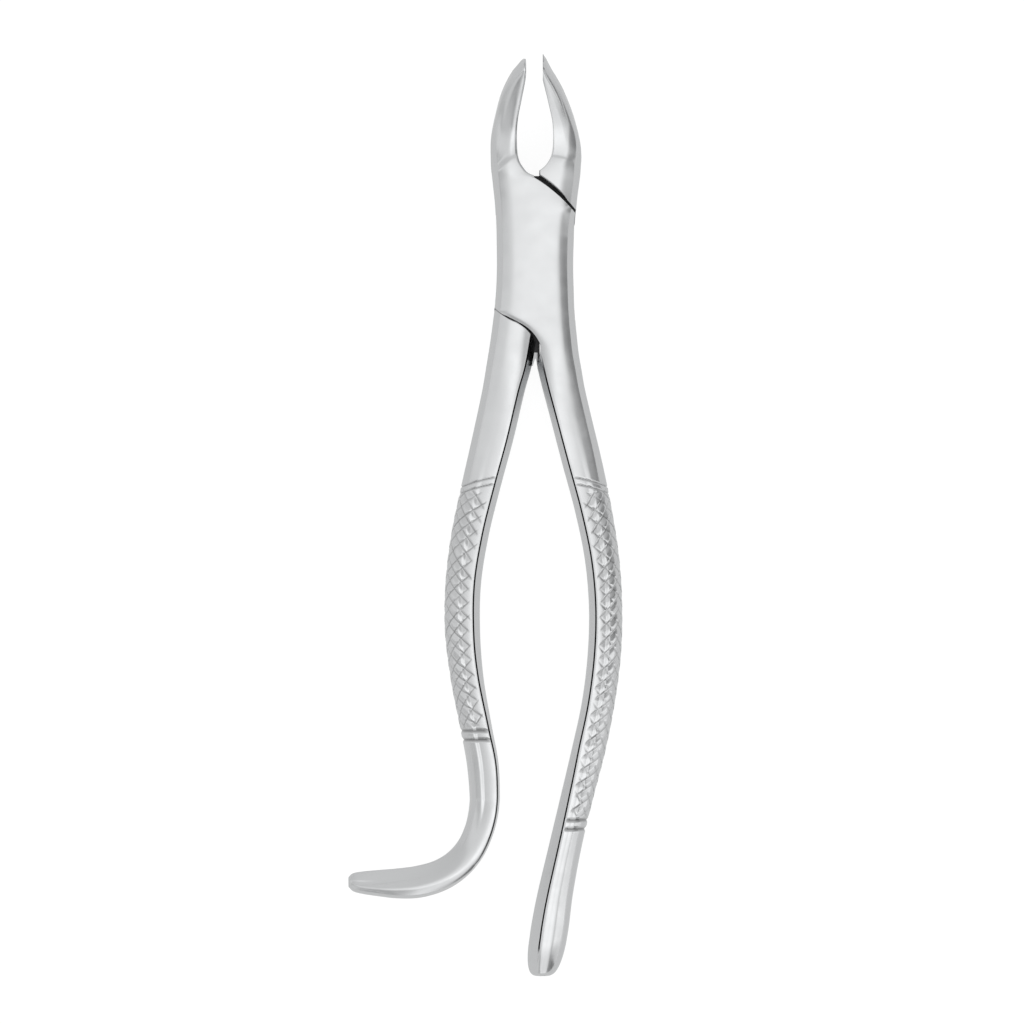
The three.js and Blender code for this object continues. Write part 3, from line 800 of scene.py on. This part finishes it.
def beak_hollow(edges, outer_side, tip, stop, length, wide, deep):
    """A cutter for the spoon-shaped hollow in a beak's gripping face, from stop to length below its tip."""
    rings = []
    least = 0.004  # keeps the end rings from shrinking to a point
    turn = np.linspace(0, 2 * math.pi, 48, endpoint=False)
    for y in np.arange(tip - stop, tip - length, -0.2):
        inner = edges(min(y, tip))[0 if outer_side > 0 else 1]
        share = math.sqrt(min(max((y - (tip - length)) / 3.5, least), 1))
        if stop > 0:
            share *= math.sqrt(min(max((tip - stop - y) / 1.2, least), 1))
        x = inner + outer_side * deep * share * np.cos(turn)
        rings.append(beak_points(y, x, wide * share * np.sin(turn)))
    return solid("hollow", *loft(rings))


# ---------- Joint ----------

UPPER_EDGE = [(9.6, 8.35), (4.9, 14.4), (-0.2, BEAK_FORK)]
LOWER_EDGE_ARC = (208, 254)  # degrees round the pivot
LOWER_EDGE_TURN = [(-0.3, -11.9), (1.0, -14.7)]
BOX_TAIL = [(1.25, -16.2), (0.36, -18.4)]  # run-out of the lower edge past the fork, on each half
HOOK_TAIL = [(2.2, -17.3), (2.6, -21.5)]
FLARE = 1.2  # how much the joint's cutters widen at the front and at the back
BEYOND = 60  # far enough past the sides and the beaks
PAST_HANDLES = 160


def bend(points, count):
    """A quadratic curve with three control points."""
    a, b, c = (np.array(p, float) for p in points)
    t = np.linspace(0, 1, count)[:, None]
    return a * (1 - t) ** 2 + 2 * b * t * (1 - t) + c * t**2


def upper_edge():
    """The joint line between the beaks."""
    return bend(UPPER_EDGE, 40)


def lower_edge(tail):
    """The joint line between the handles. The tail is its run-out past the fork."""
    turn = np.radians(np.linspace(*LOWER_EDGE_ARC, 40))
    arc = SHOULDER_RADIUS * np.column_stack([np.cos(turn), np.sin(turn)])
    curve = bend([arc[-1], *LOWER_EDGE_TURN], 24)
    return np.concatenate([arc, curve[1:], bend([curve[-1], *tail], 16)[1:]])


def moved_out(edge, gap):
    """An edge moved sideways, away from the plates."""
    ways = np.gradient(edge, axis=0)
    ways /= np.linalg.norm(ways, axis=1)[:, None]
    return edge + gap * np.column_stack([ways[:, 1], -ways[:, 0]])


def turned(points, degrees):
    """Points turned anticlockwise round the pivot."""
    turn = math.radians(degrees)
    c, s = math.cos(turn), math.sin(turn)
    return points @ np.array([[c, s], [-s, c]])


def beyond_upper(edge):
    """Outline of the region on the far side of the upper joint line."""
    x = edge[-1][0]
    return np.concatenate([edge, [(x, BEYOND), (BEYOND, BEYOND), (BEYOND, edge[0][1])]])


def beyond_lower(edge, reach=BEYOND):
    """Outline of the region on the far side of the lower joint line."""
    x = edge[-1][0]
    return np.concatenate([edge, [(x, -reach), (-BEYOND, -reach), (-BEYOND, edge[0][1])]])


def flared(edge, outline_of, chamfer, direction):
    """A cutting block whose wall follows an edge, with chamfers where it meets the front and the back.

    It reaches well below the back of the joint and above the beaks.
    """
    levels = []
    for height, out in (
        (-6, FLARE),
        (-FLARE + chamfer, FLARE),
        (chamfer, 0.0),
        (JOINT_DEPTH - chamfer, 0.0),
        (JOINT_DEPTH + FLARE - chamfer, FLARE),
        (JOINT_DEPTH + 20, FLARE),
    ):
        levels.append((height, anticlockwise(outline_of(moved_out(edge, direction * out)))))
    return prism("cutter", levels, [STEEL_SLOT, STEEL_SLOT, INSIDE_SLOT, STEEL_SLOT, STEEL_SLOT])


def disc(radius, low, high, sides):
    """A round layer centred on the pivot."""
    turn = np.linspace(0, 2 * math.pi, sides, endpoint=False)
    outline = radius * np.column_stack([np.cos(turn), np.sin(turn)])
    return prism("disc", [(low, outline), (high, outline)], [INSIDE_SLOT])


def block(x0, x1, y0, y1, low, high):
    """A rectangular layer."""
    outline = np.array([(x0, y0), (x1, y0), (x1, y1), (x0, y1)], float)
    return prism("block", [(low, outline), (high, outline)], [INSIDE_SLOT])


def through_layer(radius, neck, top, bottom, low, high):
    """A flat layer: a disc round the pivot, a neck up to the beaks and a neck down to the handles."""
    layer = disc(radius, low, high, 128)
    up = block(-neck, BEYOND, 0, top, low, high)
    down = block(-BEYOND, neck, bottom, 0, low, high)
    return combine(layer, "UNION", up, down)


# ---------- Halves ----------


def loft_with_shade(name, rings, painted_shades):
    """A lofted solid, the places of its points in metres, and the painted shade of each of them."""
    vertices, faces = loft(rings)
    painted_shade = np.concatenate([*painted_shades, [0.0, 0.0]])
    return solid(name, vertices, faces), vertices * MM, painted_shade


def paint_shade(thing, places, painted_shade):
    """Writes on the finished mesh the painted shade of each point, from the nearest point of the lofts."""
    same_point = 0.2 * MM
    tree = kdtree.KDTree(len(places))
    for i, place in enumerate(places):
        tree.insert(place, i)
    tree.balance()
    layer = thing.data.attributes.new("painted_shade", "FLOAT", "POINT")
    values = np.zeros(len(thing.data.vertices), np.float32)
    for i, vertex in enumerate(thing.data.vertices):
        _, nearest, gap = tree.find(vertex.co)
        if gap < same_point:
            values[i] = painted_shade[nearest]
    layer.data.foreach_set("value", values)


def joint_rings(first, last, step):
    """Rings of the box half between its beak and its handle."""
    rings = []
    for y in stations_between(first, last, step, []):
        left, right = BOX_EDGES(y)
        _, flank_left, flank_right, *_ = BEAK_FORM(y)
        lands = (SIDE_LAND, SIDE_LAND)
        outline = section(right - left, MID, flank_right, flank_left, *lands, 0.0, 0.0, FACE_FORM(y))
        rings.append(place_section(outline, left, right, y, 1))
    return rings


def make_box_half():
    """The left beak, the box of the joint and the straight handle, as one piece."""
    tip = ROUND_TIP_Y
    beak = beak_rings(BOX_EDGES, -1, 17.6, tip, round_share, ROUND_BEAK_FRONT, ROUND_BEAK_START)
    joint = joint_rings(first=17.3, last=-14.9, step=0.4)
    last = -129.3
    lower = stations_between(-15.1, last, 0.5, grip_spans(STRAIGHT_GRIP_END))
    handle, handle_shades = handle_rings(BOX_EDGES, 1, lower, STRAIGHT_GRIP_END)
    cap, cap_shades = end_cap(BOX_EDGES, 1, last, reach=7.35, drift=-0.165, steps=26)
    # The beak and the joint get no painted shade.
    unshaded = [np.zeros(len(ring)) for ring in beak + joint]
    rings = beak + joint + handle + cap
    body, places, painted_shade = loft_with_shade("forceps_box_half", rings, unshaded + handle_shades + cap_shades)
    top = BEAK_FORK + 0.9
    bottom = HANDLE_FORK - 1.6
    cutters = [
        flared(upper_edge(), beyond_upper, chamfer=0.14, direction=-1),
        flared(lower_edge(BOX_TAIL), beyond_lower, chamfer=0.12, direction=-1),
        through_layer(SLOT_RADIUS, WALL_SETBACK, top, bottom, PLATE, JOINT_DEPTH - PLATE),
        beak_hollow(BOX_EDGES, -1, tip, stop=1.4, length=5.6, wide=1.0, deep=0.35),
    ]
    combine(body, "DIFFERENCE", *cutters)
    paint_shade(body, places, painted_shade)
    return body


def make_hook_half():
    """The right beak, the tongue of the joint and the handle with the finger hook, as one piece."""
    upper = stations_between(-8.0, -102.3, 0.5, grip_spans(HOOK_GRIP_END))
    handle, handle_shades = handle_rings(HOOK_HANDLE_EDGES, -1, upper, HOOK_GRIP_END)
    hook, hook_shades = hook_rings()
    rings = handle + hook
    limb, limb_places, limb_shade = loft_with_shade("forceps_hook_half", rings, handle_shades + hook_shades)
    edges = POINTED_BEAK_EDGES
    tip = POINTED_TIP_Y + FINE_POINT
    rings = beak_rings(edges, 1, 6.0, tip, point_share, POINTED_BEAK_FRONT, POINTED_BEAK_START)
    beak, beak_places, beak_shade = loft_with_shade("beak", rings, [np.zeros(len(r)) for r in rings])
    lower_line = turned(moved_out(lower_edge(HOOK_TAIL), SHOULDER_GAP), -OPEN_AT_REST)
    upper_line = turned(moved_out(upper_edge(), SHOULDER_GAP + 0.2), -OPEN_AT_REST)
    below = flared(lower_line, lambda edge: beyond_lower(edge, PAST_HANDLES), chamfer=0.14, direction=1)
    combine(limb, "INTERSECT", below)
    combine(beak, "INTERSECT", flared(upper_line, beyond_upper, chamfer=0.45, direction=1))
    combine(limb, "UNION", make_tongue(), beak)
    combine(limb, "DIFFERENCE", beak_hollow(edges, 1, tip, stop=-1.2, length=8.4, wide=1.25, deep=0.8))
    paint_shade(limb, np.concatenate([limb_places, beak_places]), np.concatenate([limb_shade, beak_shade]))
    return limb


def make_tongue():
    """The flat middle layer of the hook half, which runs through the box."""
    inset = 0.06  # how far its sides lie inside the outlines of the limbs
    low = PLATE + SIDE_PLAY
    high = low + TONGUE
    lefts = []
    rights = []
    for y in np.linspace(-20, 20, 81):
        left = HOOK_HANDLE_EDGES(y)[0] if y < -8 else BOX_EDGES(y)[0]
        right = POINTED_BEAK_EDGES(y)[1] if y > 8 else BOX_EDGES(y)[1]
        lefts.append((left + inset, y))
        rights.append((right - inset, y))
    outline = anticlockwise(lefts + rights[::-1])
    plan = prism("tongue", [(low, outline), (high, outline)], [STEEL_SLOT])
    slope_top = HANDLE_FORK + 1.25
    layer = through_layer(TONGUE_RADIUS, NECK_REACH, BEAK_FORK + 0.3, slope_top, low - 1, high + 1)
    # The polished slope at the fork between the handles, with a pointed notch.
    slope_end = HANDLE_FORK - 1.3
    profile = [
        (slope_top + 0.5, low),
        (slope_top + 0.5, high),
        (slope_top, high),
        (slope_end, low + 0.1),
        (slope_end, low),
    ]
    vertices = [(x, y, z) for x in (-2.2, NECK_REACH) for y, z in profile]
    sides = [[i, (i + 1) % 5, 5 + (i + 1) % 5, 5 + i] for i in range(5)]
    slope = solid("slope", vertices, [*sides, [4, 3, 2, 1, 0], [5, 6, 7, 8, 9]])
    mouth = slope_end - 1
    notch_outline = anticlockwise([(0.05, HANDLE_FORK + 0.25), (-0.7, mouth), (0.8, mouth)])
    levels = [(low - 1, notch_outline), (high + 1, notch_outline)]
    combine(slope, "DIFFERENCE", prism("notch", levels, [STEEL_SLOT], STEEL_SLOT))
    return combine(combine(plan, "INTERSECT", layer), "UNION", slope)


def make_rivet():
    """The rivet, whose ends are ground away flush with the plates and blended into them."""
    inset = 0.05
    rivet = disc(RIVET_RADIUS, inset, JOINT_DEPTH - inset, 64)
    rivet.name = "forceps_rivet"
    rivet.data.name = rivet.name
    return rivet


# ---------- Steel ----------


def set_inputs(node, values):
    """Gives a node's unconnected inputs their values."""
    for name, value in values.items():
        node.inputs[name].default_value = value


def steel_material(name, base, shade_colour, roughness):
    """Satin-polished stainless steel: fine marks, slow hand-ground waves, and painted shade in its grooves.
    """
    material = bpy.data.materials.new(name)
    material.use_nodes = True
    nodes = material.node_tree.nodes
    links = material.node_tree.links
    shader = nodes["Principled BSDF"]
    set_inputs(shader, {"Metallic": 1.0})
    place = nodes.new("ShaderNodeTexCoord").outputs["Object"]

    def noise(scale, detail, source):
        node = nodes.new("ShaderNodeTexNoise")
        set_inputs(node, {"Scale": scale, "Detail": detail})
        links.new(source, node.inputs["Vector"])
        return node.outputs["Fac"]

    # Polishing marks run across the limbs.
    across = nodes.new("ShaderNodeMapping")
    set_inputs(across, {"Scale": (900, 5200, 2600), "Rotation": (0, 0, 0.12)})
    links.new(place, across.inputs["Vector"])
    marks = noise(1.0, 3.0, across.outputs["Vector"])
    waves = noise(170.0, 1.0, place)
    blotches = noise(320.0, 4.0, place)

    # Painted shade: the grooves' darkness, stored on the mesh, mixes the base colour towards a dark shade
    # colour.
    painted_shade = nodes.new("ShaderNodeAttribute")
    painted_shade.attribute_name = "painted_shade"
    tint = nodes.new("ShaderNodeMix")
    tint.data_type = "RGBA"
    set_inputs(tint, {"A": (*base, 1), "B": (*shade_colour, 1)})
    links.new(painted_shade.outputs["Fac"], tint.inputs["Factor"])
    links.new(tint.outputs["Result"], shader.inputs["Base Color"])

    rough = nodes.new("ShaderNodeMapRange")
    set_inputs(rough, {"From Min": 0.3, "From Max": 0.7})
    set_inputs(rough, {"To Min": roughness - 0.04, "To Max": roughness + 0.04})
    links.new(blotches, rough.inputs["Value"])
    links.new(rough.outputs["Result"], shader.inputs["Roughness"])

    fine = nodes.new("ShaderNodeBump")
    set_inputs(fine, {"Strength": 0.05, "Distance": 0.00004})
    links.new(marks, fine.inputs["Height"])
    slow = nodes.new("ShaderNodeBump")
    set_inputs(slow, {"Strength": 0.12, "Distance": 0.0004})
    links.new(waves, slow.inputs["Height"])
    links.new(fine.outputs["Normal"], slow.inputs["Normal"])
    links.new(slow.outputs["Normal"], shader.inputs["Normal"])
    return material


# ---------- Studio ----------

# What the steel reflects, as (place from left -1 to right 1, brightness), for directions that lean well
# towards the beaks, straight up, slightly towards the handles, and well towards the handles.
STUDIO = [
    [(-1, 0.7), (-0.4, 0.75), (0, 0.82), (0.4, 0.7), (1, 0.4)],
    [
        (-1, 0.88), (-0.64, 0.92), (-0.3, 0.95), (-0.2, 0.99), (-0.13, 1.08), (-0.06, 1.2),
        (0, 1.24), (0.08, 1.24), (0.12, 1.17), (0.18, 1.07), (0.24, 0.95), (0.3, 0.78),
        (0.36, 0.52), (0.42, 0.42), (0.55, 0.36), (0.8, 0.27), (1, 0.3),
    ],
    [
        (-1, 0.6), (-0.5, 0.68), (-0.25, 0.85), (-0.1, 1.05), (-0.04, 1.42), (0.02, 1.58),
        (0.12, 1.55), (0.24, 1.3), (0.4, 0.92), (0.6, 0.8), (1, 0.7),
    ],
    [
        (-1, 0.8), (-0.55, 0.78), (-0.38, 0.66), (-0.22, 0.45), (-0.12, 0.48), (-0.02, 1.0),
        (0.06, 1.18), (0.2, 1.05), (0.3, 0.85), (0.45, 0.4), (0.7, 0.22), (1, 0.3),
    ],
]
STUDIO_STEPS = [(0.34, 0.12), (0.0, -0.06), (-0.14, -0.32)]  # where each row gives way to the next one


def studio_light():
    """A soft white light tent. The camera itself sees a plain pale background."""
    world = bpy.data.worlds.new("studio")
    bpy.context.scene.world = world
    world.use_nodes = True
    nodes = world.node_tree.nodes
    links = world.node_tree.links
    nodes.clear()
    way = nodes.new("ShaderNodeSeparateXYZ")
    links.new(nodes.new("ShaderNodeTexCoord").outputs["Generated"], way.inputs["Vector"])
    sideways = nodes.new("ShaderNodeMapRange")
    set_inputs(sideways, {"From Min": -1})
    links.new(way.outputs["X"], sideways.inputs["Value"])
    bright = max(value for row in STUDIO for _, value in row)
    colour = None
    for row, step in zip(STUDIO, [None, *STUDIO_STEPS]):
        ramp = nodes.new("ShaderNodeValToRGB")
        stops = ramp.color_ramp.elements
        for place, value in row:
            stop = stops[0] if place == -1 else stops[-1] if place == 1 else stops.new((place + 1) / 2)
            stop.color = (value / bright, value / bright, value / bright, 1)
        links.new(sideways.outputs["Result"], ramp.inputs["Fac"])
        if step is None:
            colour = ramp.outputs["Color"]
            continue
        mask = nodes.new("ShaderNodeMapRange")
        mask.interpolation_type = "SMOOTHSTEP"
        set_inputs(mask, {"From Min": step[0], "From Max": step[1]})
        links.new(way.outputs["Y"], mask.inputs["Value"])
        blend = nodes.new("ShaderNodeMix")
        blend.data_type = "RGBA"
        links.new(mask.outputs["Result"], blend.inputs["Factor"])
        links.new(colour, blend.inputs["A"])
        links.new(ramp.outputs["Color"], blend.inputs["B"])
        colour = blend.outputs["Result"]
    lit = nodes.new("ShaderNodeBackground")
    set_inputs(lit, {"Strength": bright})
    links.new(colour, lit.inputs["Color"])
    plain = nodes.new("ShaderNodeBackground")
    set_inputs(plain, {"Color": (1, 1, 1, 1)})
    path = nodes.new("ShaderNodeLightPath")
    shown = nodes.new("ShaderNodeMixShader")
    links.new(path.outputs["Is Camera Ray"], shown.inputs["Fac"])
    links.new(lit.outputs["Background"], shown.inputs[1])
    links.new(plain.outputs["Background"], shown.inputs[2])
    out = nodes.new("ShaderNodeOutputWorld")
    links.new(shown.outputs["Shader"], out.inputs["Surface"])


def side_light():
    """A soft light low on the right, beside the grips."""
    light = bpy.data.lights.new("side_light", "AREA")
    light.shape = "RECTANGLE"
    light.size = 0.24
    light.size_y = 0.17
    light.energy = 0.07
    lamp = bpy.data.objects.new("side_light", light)
    lamp.location = (0.16, -0.145, 0.125)
    lamp.rotation_euler = (0, math.radians(90), 0)
    lamp.visible_camera = False
    bpy.context.scene.collection.objects.link(lamp)


def make_floor():
    """White paper just under the forceps, so that they never touch it."""
    size = 3.0
    corners = [(-size, -size, 0), (size, -size, 0), (size, size, 0), (-size, size, 0)]
    mesh = bpy.data.meshes.new("floor")
    mesh.from_pydata(corners, [], [(0, 1, 2, 3)])
    floor = bpy.data.objects.new("floor", mesh)
    floor.location.z = -0.00005
    bpy.context.scene.collection.objects.link(floor)
    material = bpy.data.materials.new("lit_white_paper")
    material.use_nodes = True
    nodes = material.node_tree.nodes
    shader = nodes["Principled BSDF"]
    set_inputs(shader, {"Base Color": (0.2, 0.2, 0.2, 1), "Roughness": 0.9})
    set_inputs(shader, {"Specular IOR Level": 0.0, "Emission Color": (1, 1, 1, 1)})
    # The paper is lit from behind, and looks a little brighter directly than in the steel.
    path = nodes.new("ShaderNodeLightPath")
    glow = nodes.new("ShaderNodeMath")
    glow.operation = "MULTIPLY_ADD"
    glow.inputs[1].default_value = 0.3
    glow.inputs[2].default_value = 0.6
    material.node_tree.links.new(path.outputs["Is Camera Ray"], glow.inputs[0])
    material.node_tree.links.new(glow.outputs["Value"], shader.inputs["Emission Strength"])
    mesh.materials.append(material)


def add_camera():
    """A long lens straight above the forceps, with the beaks at the top of the picture."""
    view_width = 197.6 * MM  # what the picture spans at the height of the middle plane
    distance = 2.5
    sensor = 36
    data = bpy.data.cameras.new("camera")
    data.sensor_width = sensor
    data.lens = sensor * (distance - MID * MM) / view_width
    data.clip_end = 20
    camera = bpy.data.objects.new("camera", data)
    camera.location = (-4.44 * MM, -47.09 * MM, distance)
    bpy.context.scene.collection.objects.link(camera)
    bpy.context.scene.camera = camera


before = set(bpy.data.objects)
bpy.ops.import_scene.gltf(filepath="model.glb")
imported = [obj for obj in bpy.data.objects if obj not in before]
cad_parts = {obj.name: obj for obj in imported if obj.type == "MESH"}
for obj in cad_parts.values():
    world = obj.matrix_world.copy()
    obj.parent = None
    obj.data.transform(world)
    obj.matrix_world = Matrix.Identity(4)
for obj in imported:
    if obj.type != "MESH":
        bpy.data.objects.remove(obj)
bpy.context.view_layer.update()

add_camera()
studio_light()
side_light()
make_floor()
bpy.context.scene.view_settings.view_transform = "Standard"

# The second colour is the painted shade in the grooves.
steel = steel_material("satin_steel", (0.66, 0.668, 0.675), (0.1, 0.1, 0.1), 0.21)
# Painted shade: the faces inside the joint are painted near black for the shade in its narrow gaps; their
# roughness is that of unpolished steel.
joint_inside = steel_material("joint_steel_painted_dark", (0.075, 0.075, 0.077), (0.04, 0.04, 0.04), 0.6)
for piece, node, body in (
    (make_box_half(), "box_half", "box_body"),
    (make_hook_half(), "hook_half", "hook_body"),
    (make_rivet(), "joint_rivet", "box_body"),
):
    piece.data.shade_smooth()
    piece.data.set_sharp_from_angle(angle=math.radians(SHARP_DEGREES))
    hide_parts(node)
    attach(piece, body)
